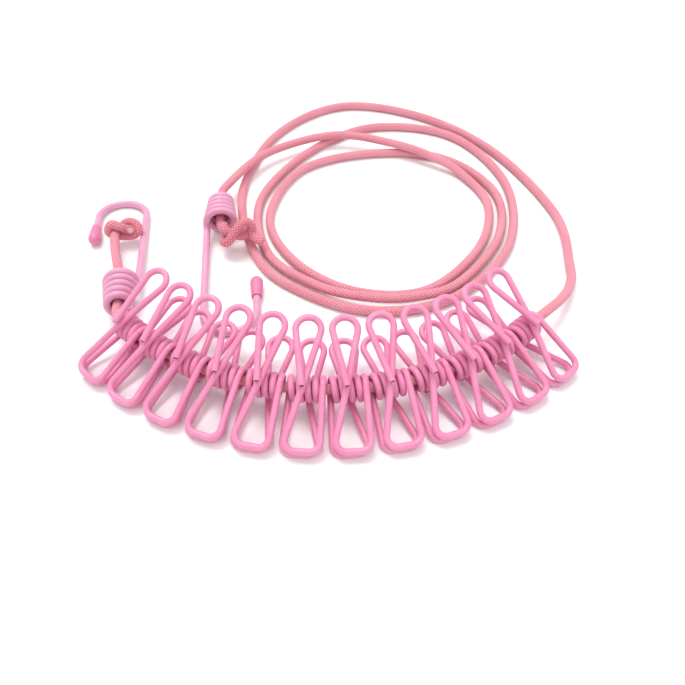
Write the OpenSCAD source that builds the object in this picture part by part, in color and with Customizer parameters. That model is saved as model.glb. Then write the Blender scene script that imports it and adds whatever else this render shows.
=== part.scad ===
// Travel clothesline: an elastic braided cord with twelve spring clips of
// plastic-coated wire threaded on it and a coated wire hook at each end.
// Lies on the floor plane z = 0 as it is put away: clips in a fan, spare
// cord coiled behind them. Millimetres, x to the right, y to the back.

/* [Wire] */
// diameter of the coated wire of the clips
clip_wire = 2.8; // [2.4:0.1:3.2]
// diameter of the coated wire of the hooks
hook_wire = 3.5; // [3:0.1:4.5]
// sides of a round wire where it is shown as a mesh
wire_sides = 32; // [16:4:48]

/* [Clip] */
// radius of the spring coil at the middle of the wire
coil_radius = 4.4; // [4.2:0.1:6]
// advance of the coil in one turn
coil_pitch = 3.1; // [2.85:0.05:4]
// half turns in the spring coil
coil_half_turns = 9; // [5:2:13]
// middle of the handle loop above the coil axis
handle_reach = 26; // [20:0.5:40]
// half of the opening between the two handles
handle_spread = 11.5; // [9:0.5:16]
// radius of the handle loop at the middle of the wire
handle_radius = 5.0; // [4:0.1:7]
// middle of the jaw bar below the coil axis
jaw_reach = 26.5; // [20:0.5:40]
// half of the distance between the two jaw bars
jaw_gap = 1.56; // [1.5:0.02:3]
// half of the width of the jaw bar between its sharp corners
jaw_half = 7.6; // [6:0.1:8]
// radius of the corners of the jaw bar
jaw_corner = 4.2; // [2:0.1:5]
// height at which the crossing wire passes the coil
cross_height = 8.1; // [7.9:0.1:10]
// height of the loose wire end that lies on the crossing wire
end_height = 10.9; // [10.8:0.1:14]

/* [Row of clips] */
// number of clips on the cord
clip_count = 12; // [1:1:12]
// radius of the arc of the cord through the clips
row_radius = 120; // [115:1:200]
// angle between neighbouring clips
row_step = 8; // [6.5:0.1:9]
// tilt of a clip that rests on its rear wire ends and its jaw
clip_tilt = 21.2; // [0:0.1:40]
// height of the coil axis above the floor
clip_height = 12.575; // [11:0.005:16]
// middle of the arc, sideways
row_x = 7.3; // [-50:0.1:50]
// middle of the arc, front to back
row_y = 62.1; // [50:0.1:150]

/* [Hook] */
// middle of the wire at the wide end of the coil
hook_wide_radius = 6.95; // [6:0.05:9]
// middle of the wire at the narrow end of the coil
hook_narrow_radius = 4.6; // [4.5:0.05:6]
// advance of the hook coil in one turn
hook_pitch = 3.65; // [3.55:0.05:5]
// half turns in the hook coil
hook_half_turns = 10; // [6:2:14]
// middle of the hook bend from the wide end
hook_length = 60; // [40:1:80]
// radius of the hook bend at the middle of the wire
hook_bend = 12.2; // [10:0.1:16]
// length of the straight return leg, cap included
hook_return = 22; // [15:1:40]
// radius where the wire leaves the coil toward the shank
hook_turn_out = 3.2; // [2.5:0.1:5]
// length of the end cap
cap_length = 13; // [8:0.5:20]
// widest diameter of the end cap
cap_bulb = 6.2; // [5:0.1:8]
// diameter of the end cap at its open rim
cap_rim = 5.0; // [4.5:0.1:6]
// height of the coil axis at its wide end
hook_height = 8.8; // [8:0.05:12]
// tilt of a hook that rests on its coil and its bend
hook_tilt = 3; // [0:0.5:10]

/* [Cord] */
// diameter of the cord
cord_diameter = 4.4; // [4:0.1:5]
// sides of the cord tube
cord_sides = 8; // [8:1:12]
// diameter of an end knot
knot_diameter = 12; // [9:0.5:14]
// length of an end knot
knot_length = 15; // [12:0.5:22]

/* [Hidden] */

clip_color = [0.97, 0.55, 0.73];
spring_color = [0.93, 0.45, 0.66];
hook_color = [0.98, 0.66, 0.80];
cap_color = [0.97, 0.50, 0.70];
cord_color = [0.98, 0.58, 0.62];

// seam between lengths of wire, closed by a sleeve a hair thicker than the wire
seam = 0.03;
sleeve_half = 0.2;
sleeve_step = 0.06;

// place of each hook: x, y of the wide end of its coil, turn about z
left_hook = [-88.5, 11.6, 6];
right_hook = [-47.5, 57, 184.5];

// cord: places it passes from the left knot through the left hook to the row of clips
left_run = [[-98.8, 48.5, 7.4], [-96.4, 37, 7.8], [-93.4, 26.5, 8.4], [-90.8, 18.5, 8.7], [-88.9, 11.6, 8.8],
  [-87.6, 2.6, 9.3], [-86.7, -6.3, 9.8], [-86.3, -9.4, 10.2], [-84.6, -14.1, 11.4]];
// cord: places it passes from the row of clips, three times round the coil, to the right hook
coil_run = [
  [103.5, -10.6, 11.3], [112.5, 0.8, 8.2], [119.5, 14, 4.8], [123.3, 31, 2.6], [123.5, 75, 2.2],
  [98.5, 134, 2.2], [59.5, 172, 2.2], [12.5, 183.5, 2.2], [-25, 150.5, 2.2], [-40, 92, 2.2],
  [-28, 37.5, 2.2], [-4.5, 12, 2.2], [28.5, -1, 2.2], [65.5, 8.5, 2.2], [96.5, 48, 2.2],
  [101.5, 103, 2.2], [76.5, 149.5, 2.2], [31.5, 159, 2.2], [-5.5, 132, 2.2], [-29.5, 86, 2.2],
  [-23.5, 41.5, 2.2], [0, 16, 3.8], [23, 5, 5.8], [46.5, 5, 5.8], [69, 18.5, 2.8],
  [92, 54, 2.2], [94.5, 94, 2.2], [69, 126, 2.2], [27.5, 130.5, 2.2], [-9.5, 113.5, 2.2],
  [-24, 71, 2.2], [-10.5, 35.5, 2.2], [18.5, 13, 2.2], [53, 13.5, 2.2], [81, 45, 2.2],
  [90, 81, 2.2], [80, 107.5, 2.8], [66, 120, 5.4], [44, 132.5, 7], [8.5, 142.5, 6.9],
  [-28.5, 124, 6.6], [-47, 88, 9.8]];
// cord: places it passes through the right hook to its knot
right_run = [[-48.9, 75, 9.75], [-48.2, 66, 9.3], [-47.5, 57, 8.9], [-45.5, 51, 9.6], [-42.5, 47, 10.8]];
// cord: steps between two places of the coil
coil_steps = 3;
// middle of each knot
left_knot = [-96, 52.4, 7.6];
right_knot = [-37.5, 45.5, 11.2];

function unit(v) = v / norm(v);
function across(v) = unit(abs(v[0]) < 0.9 * norm(v) ? cross(v, [1, 0, 0]) : cross(v, [0, 1, 0]));
function turned(a, b, c) = acos(max(-1, min(1, unit(b - a) * unit(c - b))));
// place of the frame at o with its x axis along x and its z axis along z
function placed(o, x, z) = let (y = cross(z, x))
  [[x[0], y[0], z[0], o[0]], [x[1], y[1], z[1], o[1]], [x[2], y[2], z[2], o[2]], [0, 0, 0, 1]];
function clip_angle(i) = row_step * (i - (clip_count + 1) / 2);

// straight wire from a to b
module rod(a, b, d)
  multmatrix(placed(a, across(b - a), unit(b - a)))
    cylinder(d = d, h = norm(b - a), $fn = wire_sides);

// bent wire that starts at a along t and turns by g toward s
module bend(a, t, s, r, g, d, trim = 0)
  multmatrix(placed(a + r * s, -s, cross(-s, t))) rotate([0, 0, trim])
    rotate_extrude(angle = g - 2 * trim, $fn = 48) translate([r, 0]) circle(d = d, $fn = wire_sides);

// short sleeve that joins two lengths of wire at p along t
module sleeve(p, t, d)
  rod(p - t * sleeve_half, p + t * sleeve_half, d + sleeve_step);

function seam_angle(r) = seam / r * 180 / PI;

// wire through the points p with corner radii r
module wire(p, r, d) {
  last = len(p) - 1;
  cut = [for (i = [0 : last]) i == 0 || i == last ? 0 : r[i] * tan(turned(p[i - 1], p[i], p[i + 1]) / 2)];
  for (i = [0 : last - 1]) {
    t = unit(p[i + 1] - p[i]);
    rod(p[i] + t * (cut[i] + (i > 0 ? seam : 0)), p[i + 1] - t * (cut[i + 1] + (i < last - 1 ? seam : 0)), d);
  }
  for (i = [1 : last - 1]) {
    t = unit(p[i] - p[i - 1]);
    q = unit(p[i + 1] - p[i]);
    side = unit(q - (q * t) * t);
    bend(p[i] - t * cut[i], t, side, r[i], turned(p[i - 1], p[i], p[i + 1]), d, seam_angle(r[i]));
    sleeve(p[i] - t * cut[i], t, d);
    sleeve(p[i] + q * cut[i], q, d);
  }
}

coil_half = coil_pitch * coil_half_turns / 4;
loop_left = 1.225 * handle_radius;
loop_right = 1.29 * handle_radius;

// clip at rest, coil axis along x, handles toward y, front toward z
module lever()
  wire([[-0.8, -2.8, end_height],
    [-loop_left, handle_reach, handle_spread],
    [loop_right, handle_reach, handle_spread],
    [-0.2, 0, cross_height],
    [-jaw_half, -jaw_reach, jaw_gap],
    [jaw_half, -jaw_reach, jaw_gap],
    [coil_half, -1.5, coil_radius],
    [coil_half, 0, coil_radius]],
    [0, handle_radius, handle_radius, 12, jaw_corner, jaw_corner, 12, 0], clip_wire);

module spring()
  for (k = [0 : coil_half_turns - 1]) {
    s = k % 2 == 0 ? 1 : -1;
    a = [coil_half - k * coil_pitch / 2, 0, s * coil_radius];
    b = [a[0] - coil_pitch / 2, 0, -a[2]];
    r = norm(b - a) / 2;
    bend(a, [0, s, 0], unit(b - a), r, 180, clip_wire, seam_angle(r));
    if (k > 0) sleeve(a, [0, 1, 0], clip_wire);
  }

module at_clip(i)
  translate([row_x, row_y, clip_height]) rotate([0, 0, clip_angle(i)])
    translate([0, -row_radius, 0]) rotate([clip_tilt, 0, 0]) children();

module clip_front(i) color(clip_color) at_clip(i) lever();
module clip_rear(i) color(clip_color) at_clip(i) rotate([0, 180, 0]) lever();
module clip_spring(i) color(spring_color) at_clip(i) spring();

// hook: y from the wide end of its coil toward the bend, z up
hook_step = hook_pitch / 2;
cap_start = hook_length - hook_return;

function hook_radius(k) = hook_wide_radius
  - (hook_wide_radius - hook_narrow_radius) * k / hook_half_turns;

module hook_wire_piece() {
  shank = hook_wide_radius;
  back = hook_wide_radius - 2 * hook_bend;
  low = -hook_turn_out;
  for (k = [0 : hook_half_turns - 1]) {
    s = k % 2 == 0 ? 1 : -1;
    a = [s * hook_radius(k), -k * hook_step, 0];
    b = [-s * hook_radius(k + 1), -(k + 1) * hook_step, 0];
    r = norm(b - a) / 2;
    bend(a, [0, 0, s], unit(b - a), r, 180, hook_wire, seam_angle(r));
    sleeve(a, [0, 0, s], hook_wire);
  }
  bend([shank, 0, 0], [0, 0, -1], [0, 1, 0], hook_turn_out, 90, hook_wire, seam_angle(hook_turn_out));
  sleeve([shank, hook_turn_out, low], [0, 1, 0], hook_wire);
  rod([shank, hook_turn_out + seam, low], [shank, hook_length, low], hook_wire);
  bend([shank, hook_length, low], [0, 1, 0], [-1, 0, 0], hook_bend, 180, hook_wire);
  rod([back, hook_length, low], [back, cap_start + 3, low], hook_wire);
}

// cap: rounded plastic end with a blind bore for the wire
module cap_piece()
  translate([hook_wide_radius - 2 * hook_bend, cap_start + cap_length, -hook_turn_out])
    rotate([90, 0, 0]) rotate_extrude($fn = 48) polygon([
      [hook_wire / 2, 0], [cap_rim / 2 - 0.3, 0], [cap_rim / 2, 0.3], [cap_bulb / 2 - 0.3, cap_length - 5.5],
      [cap_bulb / 2, cap_length - 4], [cap_bulb / 2 - 0.3, cap_length - 2.2],
      [cap_bulb / 2 - 1, cap_length - 0.9], [cap_bulb / 2 - 2, cap_length - 0.2], [0, cap_length],
      [0, cap_length - 3], [hook_wire / 2, cap_length - 3]]);

module at_hook(place)
  translate([place[0], place[1], hook_height]) rotate([0, 0, place[2]]) rotate([-hook_tilt, 0, 0]) children();

module hook(place) color(hook_color) at_hook(place) hook_wire_piece();
module hook_cap(place) color(cap_color) at_hook(place) cap_piece();

// cord
row_end = clip_angle(clip_count) + row_step / 2;
row_run = [for (a = [-row_end : row_step / 2 : row_end])
  [row_x + row_radius * sin(a), row_y - row_radius * cos(a), clip_height]];

// points of a smooth run through the places p, n to each gap, never below the floor
function between(a, b, c, d, t) = b + t / 2 * ((c - a) + t * (2 * a - 5 * b + 4 * c - d)
  + t * t * (3 * b - a - 3 * c + d));
function smooth(p, n) = let (last = len(p) - 1)
  [for (i = [0 : last - 1]) for (k = [0 : n - 1])
    let (q = between(p[max(i - 1, 0)], p[i], p[i + 1], p[min(i + 2, last)], k / n))
      [q[0], q[1], max(q[2], cord_diameter / 2)]];
route = concat(left_run, row_run, smooth(concat(coil_run, [right_run[0]]), coil_steps), right_run);

function heading(p, i) = unit(p[min(i + 1, len(p) - 1)] - p[max(i - 1, 0)]);
function ring(p, i, n, d) = let (t = heading(p, i), x = unit(cross([0, 0, 1], t)), y = cross(t, x))
  [for (k = [0 : n - 1]) p[i] + d / 2 * (cos(360 * k / n) * x + sin(360 * k / n) * y)];

module tube(p, n, d) {
  rings = [for (i = [0 : len(p) - 1]) each ring(p, i, n, d)];
  last = (len(p) - 1) * n;
  polyhedron(rings, concat(
    [[for (k = [0 : n - 1]) k]],
    [for (i = [0 : len(p) - 2]) for (k = [0 : n - 1]) let (a = i * n + k, b = i * n + (k + 1) % n)
      each [[a, a + n, b], [b, a + n, b + n]]],
    [[for (k = [n - 1 : -1 : 0]) last + k]]));
}

module cord() color(cord_color) tube(route, cord_sides, cord_diameter);

// end knot: a barrel with its long side along x, given as half lengths and radii
knot_profile = [[0.5, 0.3], [0.36, 0.45], [0.18, 0.5]];

module knot(place) color(cord_color) translate(place) rotate([0, 90, 0]) rotate_extrude($fn = 48)
  polygon(concat([[0, knot_length / 2]],
    [for (q = knot_profile) [q[1] * knot_diameter, q[0] * knot_length]],
    [for (k = [len(knot_profile) - 1 : -1 : 0])
      [knot_profile[k][1] * knot_diameter, -knot_profile[k][0] * knot_length]],
    [[0, -knot_length / 2]]));

cord();
knot(left_knot);  // knot_left
knot(right_knot);  // knot_right
hook(left_hook);  // hook_left
hook_cap(left_hook);  // hook_left_cap
hook(right_hook);  // hook_right
hook_cap(right_hook);  // hook_right_cap
clip_spring(1);  // clip_01_spring
clip_rear(1);  // clip_01_rear
clip_front(1);  // clip_01_front
clip_spring(2);  // clip_02_spring
clip_rear(2);  // clip_02_rear
clip_front(2);  // clip_02_front
clip_spring(3);  // clip_03_spring
clip_rear(3);  // clip_03_rear
clip_front(3);  // clip_03_front
clip_spring(4);  // clip_04_spring
clip_rear(4);  // clip_04_rear
clip_front(4);  // clip_04_front
clip_spring(5);  // clip_05_spring
clip_rear(5);  // clip_05_rear
clip_front(5);  // clip_05_front
clip_spring(6);  // clip_06_spring
clip_rear(6);  // clip_06_rear
clip_front(6);  // clip_06_front
clip_spring(7);  // clip_07_spring
clip_rear(7);  // clip_07_rear
clip_front(7);  // clip_07_front
clip_spring(8);  // clip_08_spring
clip_rear(8);  // clip_08_rear
clip_front(8);  // clip_08_front
clip_spring(9);  // clip_09_spring
clip_rear(9);  // clip_09_rear
clip_front(9);  // clip_09_front
clip_spring(10);  // clip_10_spring
clip_rear(10);  // clip_10_rear
clip_front(10);  // clip_10_front
clip_spring(11);  // clip_11_spring
clip_rear(11);  // clip_11_rear
clip_front(11);  // clip_11_front
clip_spring(12);  // clip_12_spring
clip_rear(12);  // clip_12_rear
clip_front(12);  // clip_12_front
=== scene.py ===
import math

import bpy
from mathutils import Matrix, Vector


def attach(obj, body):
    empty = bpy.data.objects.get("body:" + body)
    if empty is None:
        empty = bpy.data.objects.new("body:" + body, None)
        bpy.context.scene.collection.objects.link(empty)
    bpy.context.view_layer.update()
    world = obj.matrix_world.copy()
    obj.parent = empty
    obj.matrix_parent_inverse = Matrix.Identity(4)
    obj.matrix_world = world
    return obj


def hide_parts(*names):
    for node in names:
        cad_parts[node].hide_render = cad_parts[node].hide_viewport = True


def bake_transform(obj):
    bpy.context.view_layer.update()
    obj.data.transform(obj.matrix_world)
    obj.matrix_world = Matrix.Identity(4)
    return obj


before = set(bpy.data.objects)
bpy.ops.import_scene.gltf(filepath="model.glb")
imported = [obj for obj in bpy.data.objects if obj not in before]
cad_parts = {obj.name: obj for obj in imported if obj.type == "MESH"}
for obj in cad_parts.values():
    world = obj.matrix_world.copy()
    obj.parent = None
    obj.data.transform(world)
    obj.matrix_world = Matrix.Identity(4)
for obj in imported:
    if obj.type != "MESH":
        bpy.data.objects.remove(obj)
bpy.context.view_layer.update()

MM = 0.001

# ---------------------------------------------------------------- sizes, millimetres, as in the CAD model
CLIP_WIRE = 2.8
CLIP_CORE = 1.8
CLIP_SIDES = 20
COIL_RADIUS = 4.4
COIL_PITCH = 3.1
COIL_TURNS = 4.5
COIL_HALF = COIL_PITCH * COIL_TURNS / 2
HANDLE_REACH = 26.0
HANDLE_SPREAD = 11.5
HANDLE_RADIUS = 5.0
LOOP_LEFT = 1.225 * HANDLE_RADIUS
LOOP_RIGHT = 1.29 * HANDLE_RADIUS
JAW_REACH = 26.5
JAW_GAP = 1.56
JAW_HALF = 7.6
JAW_CORNER = 4.2
CROSS_HEIGHT = 8.1
END_HEIGHT = 10.9
SOFT_BEND = 12

CLIPS = 12
ROW_RADIUS = 120.0
ROW_STEP = 8.0
ROW_CENTRE = (7.3, 62.1)
CLIP_HEIGHT = 12.575
CLIP_TILT = 21.2

HOOK_WIRE = 3.5
HOOK_CORE = 2.2
HOOK_SIDES = 24
HOOK_WIDE = 6.95
HOOK_NARROW = 4.6
HOOK_PITCH = 3.65
HOOK_TURNS = 5
HOOK_LENGTH = 60.0
HOOK_BEND = 12.2
HOOK_RETURN = 22.0
HOOK_BACK = HOOK_WIDE - 2 * HOOK_BEND
SHORT_OF_CAP = 3
HOOK_TURN_OUT = 3.2
HOOK_HEIGHT = 8.8
HOOK_TILT = 3.0
CAP_LENGTH = 13.0
CAP_BULB = 6.2
CAP_RIM = 5.0
CAP_SIDES = 32
HOOKS = {"left": (-88.5, 11.6, 6.0), "right": (-47.5, 57.0, 184.5)}

CORD = 4.4
CORD_SIDES = 32
BRAID_STRANDS = 8
BRAID_PITCH = 13.0
LEFT_RUN = [
    (-98.8, 48.5, 7.4), (-96.4, 37, 7.8), (-93.4, 26.5, 8.4), (-90.8, 18.5, 8.7), (-88.9, 11.6, 8.8),
    (-87.6, 2.6, 9.3), (-86.7, -6.3, 9.8), (-86.3, -9.4, 10.2), (-84.6, -14.1, 11.4)]
COIL_RUN = [
    (103.5, -10.6, 11.3), (112.5, 0.8, 8.2), (119.5, 14, 4.8), (123.3, 31, 2.6), (123.5, 75, 2.2),
    (98.5, 134, 2.2), (59.5, 172, 2.2), (12.5, 183.5, 2.2), (-25, 150.5, 2.2), (-40, 92, 2.2),
    (-28, 37.5, 2.2), (-4.5, 12, 2.2), (28.5, -1, 2.2), (65.5, 8.5, 2.2), (96.5, 48, 2.2),
    (101.5, 103, 2.2), (76.5, 149.5, 2.2), (31.5, 159, 2.2), (-5.5, 132, 2.2), (-29.5, 86, 2.2),
    (-23.5, 41.5, 2.2), (0, 16, 3.8), (23, 5, 5.8), (46.5, 5, 5.8), (69, 18.5, 2.8),
    (92, 54, 2.2), (94.5, 94, 2.2), (69, 126, 2.2), (27.5, 130.5, 2.2), (-9.5, 113.5, 2.2),
    (-24, 71, 2.2), (-10.5, 35.5, 2.2), (18.5, 13, 2.2), (53, 13.5, 2.2), (81, 45, 2.2),
    (90, 81, 2.2), (80, 107.5, 2.8), (66, 120, 5.4), (44, 132.5, 7), (8.5, 142.5, 6.9),
    (-28.5, 124, 6.6), (-47, 88, 9.8)]
RIGHT_RUN = [
    (-48.9, 75, 9.75), (-48.2, 66, 9.3), (-47.5, 57, 8.9), (-45.5, 51, 9.6), (-42.5, 47, 10.8)]
# knots: middle, then places as (right, up, toward the camera) about it, from the cord to the cut tail
KNOTS = {
    "left": ((-95.0, 52.4, 7.6), [
        (-3.9, -7.0, 3.2), (-3.9, -4.2, 2.9), (-3.6, -0.6, 0.6), (-1.6, 2.2, -1.6), (1.8, 4.2, -1.6),
        (5.6, 3.2, -0.8), (7.0, 0.4, -0.4), (4.6, -2.2, -1.0), (-0.4, -2.6, -1.8), (-5.0, -2.4, -1.4),
        (-7.4, -0.8, 1.0), (-5.4, 2.2, 3.6), (-1.8, 1.3, 3.8), (0.8, 0.4, 2.6), (2.8, 0.0, 2.6),
        (4.0, -0.2, 4.2)]),
    "right": ((-37.5, 45.5, 11.2), [
        (-7.2, 4.2, -0.6), (-6.2, 1.4, 0.6), (-3.0, -0.4, 0.2), (1.4, -1.2, -2.0), (5.4, 0.2, -2.4),
        (6.6, 3.4, -0.4), (4.0, 5.0, 2.0), (0.6, 2.2, 3.4), (-2.4, -2.2, 3.0), (-5.2, -5.0, 0.8),
        (-7.2, -3.6, -2.2), (-4.2, -1.0, -4.4), (0.4, 1.6, -5.0), (4.6, 0.6, -3.6), (8.4, -2.2, -0.6),
        (11.4, -4.6, 0.2)])}

# spacing of rings along each kind of line
CLIP_STEP = 0.6
HOOK_STEP = 0.5
CORD_STEP = 0.9
KNOT_STEP = 0.7

# ---------------------------------------------------------------- camera
LOOK_AT = Vector((0.0135, -0.019, 0.0))
CAMERA_DISTANCE = 0.367
CAMERA_ELEVATION = math.radians(45)
CAMERA_LENS = 43.6


def make_camera():
    data = bpy.data.cameras.new("camera")
    data.sensor_width = 36
    data.lens = CAMERA_LENS
    data.clip_start = 0.01
    camera = bpy.data.objects.new("camera", data)
    bpy.context.scene.collection.objects.link(camera)
    away = Vector((0, -math.cos(CAMERA_ELEVATION), math.sin(CAMERA_ELEVATION)))
    camera.location = LOOK_AT + away * CAMERA_DISTANCE
    camera.rotation_euler = (math.pi / 2 - CAMERA_ELEVATION, 0, 0)
    bpy.context.scene.camera = camera


# ---------------------------------------------------------------- lines in space
def smooth(places, steps):
    """Points of a smooth run through the places, steps to each gap, the last place left out."""
    p = [Vector(q) for q in places]
    run = []
    for i in range(len(p) - 1):
        a, b, c, d = p[max(i - 1, 0)], p[i], p[i + 1], p[min(i + 2, len(p) - 1)]
        for k in range(steps):
            t = k / steps
            q = b + t / 2 * ((c - a) + t * (2 * a - 5 * b + 4 * c - d) + t * t * (3 * b - a - 3 * c + d))
            q.z = max(q.z, CORD / 2)
            run.append(q)
    return run


def resampled(points, step):
    """The same line with points step apart."""
    lengths = [0.0]
    for a, b in zip(points, points[1:]):
        lengths.append(lengths[-1] + (b - a).length)
    count = max(2, round(lengths[-1] / step))
    line, i = [], 0
    for k in range(count + 1):
        s = lengths[-1] * k / count
        while i < len(points) - 2 and lengths[i + 1] < s:
            i += 1
        gap = lengths[i + 1] - lengths[i]
        line.append(points[i].lerp(points[i + 1], (s - lengths[i]) / gap if gap else 0))
    return line


def bent(corners, radii, step):
    """Centre line of a wire through the corners, rounded by the radii."""
    p = [Vector(q) for q in corners]
    line = [p[0]]
    for i in range(1, len(p) - 1):
        t = (p[i] - p[i - 1]).normalized()
        q = (p[i + 1] - p[i]).normalized()
        turn = t.angle(q)
        if turn < 1e-4:
            continue
        start = p[i] - t * radii[i] * math.tan(turn / 2)
        side = (q - t * q.dot(t)).normalized()
        count = max(3, math.ceil(turn * radii[i] / step))
        for k in range(count + 1):
            a = turn * k / count
            line.append(start + radii[i] * (t * math.sin(a) + side * (1 - math.cos(a))))
    line.append(p[-1])
    return line


# ---------------------------------------------------------------- meshes
def new_piece(name, verts, faces, uvs, materials, slots):
    """Mesh with a corner UV pair and a material slot for each face."""
    mesh = bpy.data.meshes.new(name)
    mesh.from_pydata(verts, [], faces)
    layer = mesh.uv_layers.new(name="along")
    layer.data.foreach_set("uv", [x for face in uvs for corner in face for x in corner])
    for m in materials:
        mesh.materials.append(m)
    mesh.polygons.foreach_set("material_index", slots)
    mesh.polygons.foreach_set("use_smooth", [True] * len(faces))
    mesh.update()
    piece = bpy.data.objects.new(name, mesh)
    bpy.context.scene.collection.objects.link(piece)
    return piece


def swept(name, line, radius, sides, materials, start=(), end=()):
    """Round tube along a line, once round in u and metres along it in v.

    start and end are rings past its ends: (how far outward, radius, material).
    """
    n = len(line)
    tangents = [(line[min(i + 1, n - 1)] - line[max(i - 1, 0)]).normalized() for i in range(n)]
    normal = tangents[0].orthogonal().normalized()
    stations = []
    for i in range(n):
        normal = (normal - tangents[i] * normal.dot(tangents[i])).normalized()
        stations.append((line[i], tangents[i], normal.copy(), radius, 0))
    for out, r, m in end:
        c, t, nrm = stations[n - 1][:3]
        stations.append((c + t * out, t, nrm, r, m))
    head = []
    for out, r, m in start:
        c, t, nrm = stations[0][:3]
        head.insert(0, (c - t * out, t, nrm, r, m))
    stations = head + stations
    verts, faces, uvs, slots, v = [], [], [], [], 0.0
    for i, (c, t, nrm, r, m) in enumerate(stations):
        b = t.cross(nrm)
        for k in range(sides):
            a = 2 * math.pi * k / sides
            verts.append((c + r * (math.cos(a) * nrm + math.sin(a) * b)) * MM)
        if i == 0:
            continue
        before, last = v, stations[i - 1]
        v += max((c - last[0]).length, abs(r - last[3])) * MM
        for k in range(sides):
            k2 = (k + 1) % sides
            faces.append(((i - 1) * sides + k, (i - 1) * sides + k2, i * sides + k2, i * sides + k))
            u, u2 = k / sides, (k + 1) / sides
            uvs.append(((u, before), (u2, before), (u2, v), (u, v)))
            slots.append(max(m, last[4]))
    for ring, flip in ((0, True), (len(stations) - 1, False)):
        middle, m = stations[ring][0], stations[ring][4]
        first = len(verts)
        verts += [verts[ring * sides + k] for k in range(sides)] + [middle * MM]
        for k in range(sides):
            a, b = first + k, first + (k + 1) % sides
            faces.append((b, a, first + sides) if flip else (a, b, first + sides))
            uvs.append(((k / sides, 0), ((k + 1) / sides, 0), (k / sides, 0.001)))
            slots.append(m)
    return new_piece(name, verts, faces, uvs, materials, slots)


def turned(name, profile, sides, materials):
    """Round piece about the y axis from (how far along, radius, material) points."""
    verts, faces, uvs, slots, v = [], [], [], [], 0.0
    for i, (y, r, m) in enumerate(profile):
        for k in range(sides):
            a = 2 * math.pi * k / sides
            verts.append(Vector((r * math.cos(a), y, -r * math.sin(a))) * MM)
        if i == 0:
            continue
        before = v
        v += math.hypot(y - profile[i - 1][0], r - profile[i - 1][1]) * MM
        for k in range(sides):
            k2 = (k + 1) % sides
            faces.append(((i - 1) * sides + k, (i - 1) * sides + k2, i * sides + k2, i * sides + k))
            u, u2 = k / sides, (k + 1) / sides
            uvs.append(((u, before), (u2, before), (u2, v), (u, v)))
            slots.append(m)
    return new_piece(name, verts, faces, uvs, materials, slots)


# ---------------------------------------------------------------- materials
class Nodes:
    """Short way to make and join shader nodes."""

    def __init__(self, name):
        self.material = bpy.data.materials.new(name)
        self.material.use_nodes = True
        self.tree = self.material.node_tree
        self.shader = self.tree.nodes["Principled BSDF"]

    def add(self, kind, inputs=None, **settings):
        node = self.tree.nodes.new(kind)
        for key, value in settings.items():
            setattr(node, key, value)
        for key, value in (inputs or {}).items():
            self.put(node.inputs[key], value)
        return node

    def put(self, socket, value):
        if isinstance(value, bpy.types.NodeSocket):
            self.tree.links.new(value, socket)
        else:
            socket.default_value = value

    def math(self, operation, a, b=None):
        inputs = {0: a} if b is None else {0: a, 1: b}
        return self.add("ShaderNodeMath", inputs, operation=operation).outputs[0]

    def noise(self, vector, scale, detail=3.0, roughness=0.5):
        inputs = {"Vector": vector, "Scale": scale, "Detail": detail, "Roughness": roughness}
        return self.add("ShaderNodeTexNoise", inputs).outputs["Fac"]

    def span(self, value, low, high, out_low, out_high):
        inputs = {
            "Value": value, "From Min": low, "From Max": high, "To Min": out_low, "To Max": out_high}
        return self.add("ShaderNodeMapRange", inputs).outputs["Result"]

    def mix(self, factor, a, b):
        node = self.add("ShaderNodeMix", {"Factor": factor}, data_type="RGBA")
        self.put(node.inputs[6], a)
        self.put(node.inputs[7], b)
        return node.outputs[2]

    def along(self):
        """u once round, v in metres."""
        uv = self.add("ShaderNodeUVMap", uv_map="along").outputs["UV"]
        parts = self.add("ShaderNodeSeparateXYZ", {"Vector": uv})
        return parts.outputs["X"], parts.outputs["Y"]

    def round_place(self, radius):
        """A place on the wire as if it were straight, in millimetres, with no seam."""
        u, v = self.along()
        a = self.math("MULTIPLY", u, 2 * math.pi)
        x = self.math("MULTIPLY", self.math("COSINE", a), radius)
        y = self.math("MULTIPLY", self.math("SINE", a), radius)
        z = self.math("MULTIPLY", v, 1000.0)
        return self.add("ShaderNodeCombineXYZ", {"X": x, "Y": y, "Z": z}).outputs["Vector"]

    def bump(self, height, strength, distance):
        inputs = {"Height": height, "Strength": strength, "Distance": distance}
        self.put(self.shader.inputs["Normal"], self.add("ShaderNodeBump", inputs).outputs["Normal"])


def coated(name, colour, deep, radius, roughness):
    """Dipped plastic coat: soft gloss, faint orange peel, fine scuffs and a little uneven dye."""
    n = Nodes(name)
    place = n.round_place(radius)
    spot = n.add("ShaderNodeTexCoord").outputs["Object"]
    dye = n.span(n.noise(spot, 90.0, 2), 0.3, 0.7, 0, 1)
    n.put(n.shader.inputs["Base Color"], n.mix(dye, colour, deep))
    drawn_out = {"Vector": place, "Scale": (1.0, 1.0, 0.12)}
    stretched = n.add("ShaderNodeMapping", drawn_out).outputs["Vector"]
    scuff = n.span(n.noise(stretched, 2.4, 4, 0.7), 0.55, 0.75, 0, 1)
    n.put(n.shader.inputs["Roughness"], n.span(scuff, 0, 1, roughness, roughness + 0.18))
    peel = n.noise(place, 1.1, 2)
    height = n.math("ADD", n.math("MULTIPLY", peel, 0.7), n.math("MULTIPLY", scuff, -0.25))
    n.bump(height, 0.35, 0.00012)
    n.shader.inputs["Specular IOR Level"].default_value = 0.45
    n.shader.inputs["Subsurface Weight"].default_value = 0.25
    n.shader.inputs["Subsurface Radius"].default_value = (1.0, 0.35, 0.5)
    n.shader.inputs["Subsurface Scale"].default_value = 0.0012
    return n.material


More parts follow.
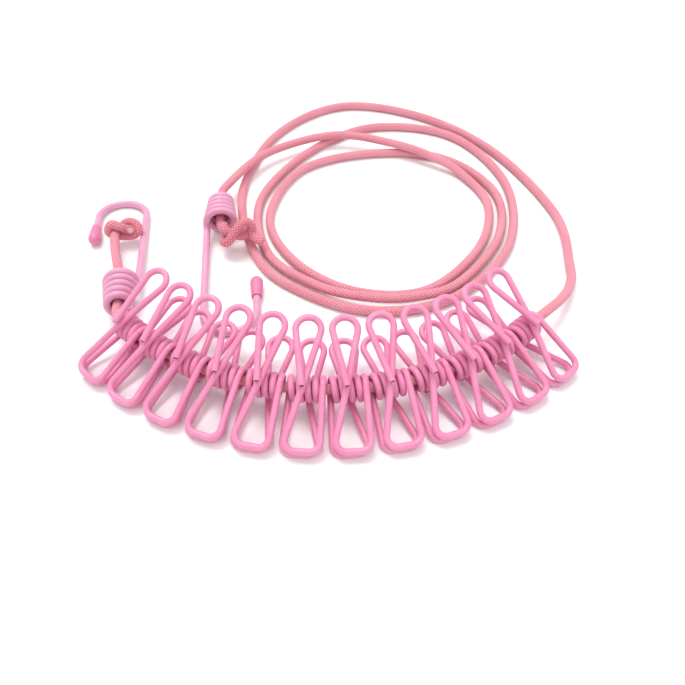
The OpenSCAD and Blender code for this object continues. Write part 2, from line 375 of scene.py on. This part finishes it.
def braided(name, light, painted_shade):
    """Braid of two families of ribbons that pass over and under each other, each of fine yarns."""
    n = Nodes(name)
    u, v = n.along()
    turns = n.math("DIVIDE", v, BRAID_PITCH * MM)
    around = n.math("MULTIPLY", u, float(BRAID_STRANDS))
    rise = n.math("MULTIPLY", turns, float(BRAID_STRANDS))
    one = n.math("ADD", around, rise)
    two = n.math("SUBTRACT", around, rise)
    in_one, in_two = n.math("FRACT", one), n.math("FRACT", two)
    cell = n.math("ADD", n.math("FLOOR", one), n.math("FLOOR", two))
    over = n.math("FLOORED_MODULO", cell, 2.0)
    round_one = n.math("SINE", n.math("MULTIPLY", in_one, math.pi))
    round_two = n.math("SINE", n.math("MULTIPLY", in_two, math.pi))
    yarn_one = n.math("ABSOLUTE", n.math("SINE", n.math("MULTIPLY", in_one, math.pi * 4)))
    yarn_two = n.math("ABSOLUTE", n.math("SINE", n.math("MULTIPLY", in_two, math.pi * 4)))
    ribbon = n.add("ShaderNodeMix", {"Factor": over}, data_type="FLOAT")
    for socket, upper, lower in ((2, round_one, round_two), (3, round_two, round_one)):
        dip = n.math("ADD", 0.55, n.math("MULTIPLY", lower, 0.45))
        n.put(ribbon.inputs[socket], n.math("MULTIPLY", upper, dip))
    yarn = n.add("ShaderNodeMix", {"Factor": over}, data_type="FLOAT")
    n.put(yarn.inputs[2], yarn_one)
    n.put(yarn.inputs[3], yarn_two)
    place = n.round_place(CORD / 2)
    fuzz = n.noise(place, 3.0, 5, 0.7)
    height = n.math("ADD", ribbon.outputs[0], n.math("MULTIPLY", yarn.outputs[0], 0.3))
    height = n.math("ADD", height, n.math("MULTIPLY", fuzz, 0.5))
    n.bump(height, 1.0, 0.0004)
    worn = n.span(n.noise(place, 0.05, 3), 0.35, 0.65, -0.08, 0.08)
    # painted shade: base colour goes to the dark colour where a ribbon dips under the other ribbon and in
    # the grooves between yarns, and to the light colour on ribbon crests; worn adds a random tone on top
    tone = n.span(ribbon.outputs[0], 0.0, 0.75, 0.0, 0.8)
    tone = n.math("ADD", tone, n.math("MULTIPLY", yarn.outputs[0], 0.2))
    tone = n.math("ADD", tone, worn)
    n.put(n.shader.inputs["Base Color"], n.mix(tone, painted_shade, light))
    n.put(n.shader.inputs["Roughness"], n.span(fuzz, 0.3, 0.7, 0.55, 0.8))
    n.shader.inputs["Sheen Weight"].default_value = 0.15
    n.shader.inputs["Sheen Roughness"].default_value = 0.4
    n.shader.inputs["Sheen Tint"].default_value = (1.0, 0.75, 0.78, 1)
    return n.material


def bare_steel():
    n = Nodes("cut_steel")
    place = n.add("ShaderNodeTexCoord").outputs["Object"]
    stain = n.span(n.noise(place, 900.0, 4), 0.4, 0.65, 0, 1)
    n.put(n.shader.inputs["Base Color"], n.mix(stain, (0.10, 0.09, 0.09, 1), (0.22, 0.15, 0.12, 1)))
    n.put(n.shader.inputs["Roughness"], n.span(stain, 0, 1, 0.35, 0.65))
    n.shader.inputs["Metallic"].default_value = 0.8
    n.bump(n.noise(place, 2500.0, 3), 0.5, 0.00005)
    return n.material


def rubber_core():
    n = Nodes("rubber_core")
    place = n.add("ShaderNodeTexCoord").outputs["Object"]
    threads = n.add("ShaderNodeTexVoronoi", {"Vector": place, "Scale": 1400.0})
    pale, deep = (0.85, 0.52, 0.54, 1), (0.55, 0.24, 0.27, 1)
    n.put(n.shader.inputs["Base Color"], n.mix(threads.outputs["Distance"], pale, deep))
    n.put(n.shader.inputs["Roughness"], n.span(threads.outputs["Distance"], 0, 1, 0.5, 0.8))
    n.bump(threads.outputs["Distance"], 0.6, 0.0001)
    return n.material


def backdrop():
    n = Nodes("floor")
    place = n.add("ShaderNodeTexCoord").outputs["Object"]
    tone = n.span(n.noise(place, 6.0, 3), 0.3, 0.7, 0, 1)
    n.put(n.shader.inputs["Base Color"], n.mix(tone, (0.93, 0.93, 0.93, 1), (0.95, 0.95, 0.95, 1)))
    n.put(n.shader.inputs["Roughness"], n.span(tone, 0, 1, 0.7, 0.8))
    return n.material


# ---------------------------------------------------------------- places of clips and hooks
def clip_place(i):
    turn = Matrix.Rotation(math.radians(ROW_STEP * (i - (CLIPS + 1) / 2)), 4, "Z")
    tilt = Matrix.Rotation(math.radians(CLIP_TILT), 4, "X")
    middle = Matrix.Translation(Vector((*ROW_CENTRE, CLIP_HEIGHT)) * MM)
    return middle @ turn @ Matrix.Translation(Vector((0, -ROW_RADIUS, 0)) * MM) @ tilt


def hook_place(side):
    x, y, turn = HOOKS[side]
    around = Matrix.Rotation(math.radians(turn), 4, "Z")
    tilt = Matrix.Rotation(math.radians(-HOOK_TILT), 4, "X")
    return Matrix.Translation(Vector((x, y, HOOK_HEIGHT)) * MM) @ (around @ tilt)


# ---------------------------------------------------------------- pieces
def cut_end(wire, core):
    """Rings of a cut end: soft edge of the coat, then the steel just inside it."""
    r, c = wire / 2, core / 2
    return [
        (0.12, r * 0.985, 0), (0.22, r * 0.93, 0), (0.26, r * 0.84, 0), (0.24, c * 1.05, 0),
        (0.08, c, 1), (0.2, c * 0.96, 1)]


def lever_line():
    corners = [
        (-0.8, -2.8, END_HEIGHT),
        (-LOOP_LEFT, HANDLE_REACH, HANDLE_SPREAD),
        (LOOP_RIGHT, HANDLE_REACH, HANDLE_SPREAD),
        (-0.2, 0, CROSS_HEIGHT),
        (-JAW_HALF, -JAW_REACH, JAW_GAP),
        (JAW_HALF, -JAW_REACH, JAW_GAP),
        (COIL_HALF, -1.5, COIL_RADIUS),
        (COIL_HALF, 0, COIL_RADIUS)]
    radii = [0, HANDLE_RADIUS, HANDLE_RADIUS, SOFT_BEND, JAW_CORNER, JAW_CORNER, SOFT_BEND, 0]
    return bent(corners, radii, CLIP_STEP)


def coil_line():
    """Helix that leaves and meets the levers square to its axis."""
    steps, ease = 216, 0.03
    line = []
    for k in range(steps + 1):
        t = k / steps
        if t < ease:
            along = t * t / (2 * ease)
        elif t > 1 - ease:
            along = 1 - ease - (1 - t) * (1 - t) / (2 * ease)
        else:
            along = t - ease / 2
        a = 2 * math.pi * COIL_TURNS * t
        x = COIL_HALF - 2 * COIL_HALF * along / (1 - ease)
        line.append(Vector((x, COIL_RADIUS * math.sin(a), COIL_RADIUS * math.cos(a))))
    return line


def make_clip(i, coat, steel):
    name = f"clip_{i:02d}"
    place = clip_place(i)
    half_round = Matrix.Rotation(math.pi, 4, "Y")
    line, end = lever_line(), cut_end(CLIP_WIRE, CLIP_CORE)
    for lever, turn in (("front", Matrix.Identity(4)), ("rear", half_round)):
        piece = swept(f"{name}_{lever}_lever", line, CLIP_WIRE / 2, CLIP_SIDES, [coat, steel], start=end)
        piece.data.transform(place @ turn)
        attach(piece, f"{name}_{lever}")
        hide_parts(f"{name}_{lever}")
    coil = swept(f"{name}_spring_coil", coil_line(), CLIP_WIRE / 2, CLIP_SIDES, [coat])
    coil.data.transform(place)
    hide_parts(f"{name}_spring")
    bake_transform(coil)


def hook_line():
    line = []
    coil_steps, bend_steps = 200, 40
    for k in range(coil_steps, 0, -1):
        t = k / coil_steps
        a = 2 * math.pi * HOOK_TURNS * t
        r = HOOK_WIDE - (HOOK_WIDE - HOOK_NARROW) * t
        line.append(Vector((r * math.cos(a), -HOOK_PITCH * HOOK_TURNS * t, r * math.sin(a))))
    low = -HOOK_TURN_OUT
    shank = [(HOOK_WIDE, 0, 0), (HOOK_WIDE, 0, low), (HOOK_WIDE, HOOK_LENGTH, low)]
    out = bent(shank, [0, HOOK_TURN_OUT, 0], HOOK_STEP)
    bend = []
    for k in range(bend_steps + 1):
        a = math.pi * k / bend_steps
        x = HOOK_WIDE - HOOK_BEND + HOOK_BEND * math.cos(a)
        bend.append(Vector((x, HOOK_LENGTH + HOOK_BEND * math.sin(a), low)))
    tip = Vector((HOOK_BACK, HOOK_LENGTH - HOOK_RETURN + SHORT_OF_CAP, low))
    return line + out[:-1] + bend + [tip]


def make_hook(side, coat, cap_coat, painted_shade, steel):
    place = hook_place(side)
    end = cut_end(HOOK_WIRE, HOOK_CORE)
    wire = swept(f"hook_{side}_wire", hook_line(), HOOK_WIRE / 2, HOOK_SIDES, [coat, steel], start=end)
    wire.data.transform(place)
    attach(wire, f"hook_{side}")
    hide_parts(f"hook_{side}")
    tip, rim = HOOK_LENGTH - HOOK_RETURN, HOOK_LENGTH - HOOK_RETURN + CAP_LENGTH
    b, r, w = CAP_BULB / 2, CAP_RIM / 2, HOOK_WIRE / 2
    # painted shade: the profile rings marked 1 line the cap's mouth around the wire in the dark coat,
    # which stands for the shade in the gap
    profile = [
        (rim - 2.0, w * 1.01, 1), (rim - 0.3, w * 1.04, 1), (rim - 0.06, w + 0.12, 1), (rim, w + 0.3, 0),
        (rim, r - 0.22, 0), (rim - 0.05, r - 0.08, 0), (rim - 0.2, r, 0), (rim - 2.5, r + 0.16, 0),
        (rim - 5.0, r + 0.38, 0), (tip + 5.5, b - 0.1, 0), (tip + 4.4, b - 0.02, 0), (tip + 3.4, b, 0),
        (tip + 2.5, b - 0.13, 0), (tip + 1.7, b - 0.42, 0), (tip + 1.0, b - 0.9, 0),
        (tip + 0.5, b - 1.45, 0), (tip + 0.18, b - 2.1, 0), (tip + 0.03, b - 2.75, 0), (tip, 0.02, 0)]
    cap = turned(f"hook_{side}_end_cap", profile, CAP_SIDES, [cap_coat, painted_shade])
    on_leg = Matrix.Translation(Vector((HOOK_BACK, 0, -HOOK_TURN_OUT)) * MM)
    cap.data.transform(place @ on_leg)
    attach(cap, f"hook_{side}")
    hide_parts(f"hook_{side}_cap")


def cord_line():
    half = ROW_STEP * CLIPS / 2
    row = []
    for k in range(4 * CLIPS + 1):
        a = math.radians(-half + k * ROW_STEP / 4)
        x, y = ROW_CENTRE[0] + ROW_RADIUS * math.sin(a), ROW_CENTRE[1] - ROW_RADIUS * math.cos(a)
        row.append(Vector((x, y, CLIP_HEIGHT)))
    places = [Vector(p) for p in LEFT_RUN] + row[::2] + [Vector(p) for p in COIL_RUN + RIGHT_RUN]
    return smooth(places, 10) + [Vector(RIGHT_RUN[-1])]


def seen_from_camera(centre, places):
    """Places given as (right, up, toward the camera) about a centre, turned into the scene's frame."""
    c, e = Vector(centre), CAMERA_ELEVATION
    right = Vector((1, 0, 0))
    up = Vector((0, math.sin(e), math.cos(e)))
    toward = Vector((0, -math.cos(e), math.sin(e)))
    return [c + right * x + up * y + toward * z for x, y, z in places]


def make_cord(braid):
    line = resampled(cord_line(), CORD_STEP)
    piece = swept("braided_cord", line, CORD / 2, CORD_SIDES, [braid])
    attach(piece, "cord")
    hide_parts("cord")
    length = sum((b - a).length for a, b in zip(line, line[1:])) * MM
    return piece, line, length


def make_knot(side, braid, core):
    """Overhand knot through listed places, with the cut end of the cord at its tail."""
    centre, places = KNOTS[side]
    line = smooth(seen_from_camera(centre, places), 12)
    r = CORD / 2
    end = [
        (0.35, r * 0.99, 0), (0.7, r * 0.9, 0), (0.8, r * 0.76, 0),
        (0.55, r * 0.7, 1), (0.75, r * 0.3, 1)]
    line = resampled(line, KNOT_STEP)
    piece = swept(f"knot_{side}_tied", line, r, CORD_SIDES, [braid, core], end=end)
    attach(piece, "cord")
    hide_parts(f"knot_{side}")
    return piece


# ---------------------------------------------------------------- stage
FLOOR_HALF = 5.0
FLOOR_HEIGHT = -0.0002
WORLD_STRENGTH = 0.75
# name, elevation, azimuth, angular size in degrees, strength
LAMPS = (("key", 68, 120, 35, 2.1), ("fill", 50, -60, 60, 0.6))


def make_stage():
    mesh = bpy.data.meshes.new("floor")
    s, z = FLOOR_HALF, FLOOR_HEIGHT
    mesh.from_pydata([(-s, -s, z), (s, -s, z), (s, s, z), (-s, s, z)], [], [(0, 1, 2, 3)])
    mesh.materials.append(backdrop())
    floor = bpy.data.objects.new("floor", mesh)
    bpy.context.scene.collection.objects.link(floor)
    world = bpy.data.worlds.new("studio")
    world.use_nodes = True
    world.node_tree.nodes["Background"].inputs["Color"].default_value = (1, 1, 1, 1)
    world.node_tree.nodes["Background"].inputs["Strength"].default_value = WORLD_STRENGTH
    bpy.context.scene.world = world
    for name, elevation, azimuth, spread, strength in LAMPS:
        data = bpy.data.lights.new(name, "SUN")
        data.angle = math.radians(spread)
        data.energy = strength
        lamp = bpy.data.objects.new(name, data)
        bpy.context.scene.collection.objects.link(lamp)
        e, a = math.radians(elevation), math.radians(azimuth)
        away = Vector((math.cos(e) * math.cos(a), math.cos(e) * math.sin(a), math.sin(e)))
        lamp.location = LOOK_AT + away
        lamp.rotation_euler = (-away).to_track_quat("-Z", "Y").to_euler()


def main():
    bpy.context.scene.view_settings.view_transform = "Standard"
    make_camera()
    # painted shade: the second colour is the shade laid in the braid's dips and yarn grooves
    braid = braided("cord_braid", (1.0, 0.45, 0.54, 1), (0.84, 0.11, 0.19, 1))
    # painted shade: the knots take a darker copy of the cord's braid, which stands for the shade among
    # their packed turns
    shaded_knot_braid = braided("knot_braid_painted_shade", (1.0, 0.38, 0.46, 1), (0.62, 0.04, 0.09, 1))
    core = rubber_core()
    cord, line, length = make_cord(braid)
    knots = [make_knot(side, shaded_knot_braid, core) for side in KNOTS]
    steel = bare_steel()
    pink = coated("clip_coat", (0.77, 0.28, 0.455, 1), (0.74, 0.235, 0.41, 1), CLIP_WIRE / 2, 0.34)
    pale = coated("hook_coat", (0.72, 0.355, 0.505, 1), (0.70, 0.315, 0.465, 1), HOOK_WIRE / 2, 0.32)
    cap_pink = coated("cap_plastic", (0.69, 0.215, 0.37, 1), (0.66, 0.18, 0.33, 1), CAP_BULB / 2, 0.42)
    # painted shade: dark coat for the shaded gap in the mouth of each hook's cap
    painted_shade = coated("cap_gap_painted_shade", (0.30, 0.05, 0.12, 1), (0.22, 0.03, 0.08, 1), HOOK_WIRE / 2, 0.6)
    for i in range(1, CLIPS + 1):
        make_clip(i, pink, steel)
    for side in HOOKS:
        make_hook(side, pale, cap_pink, painted_shade, steel)
    make_stage()


main()
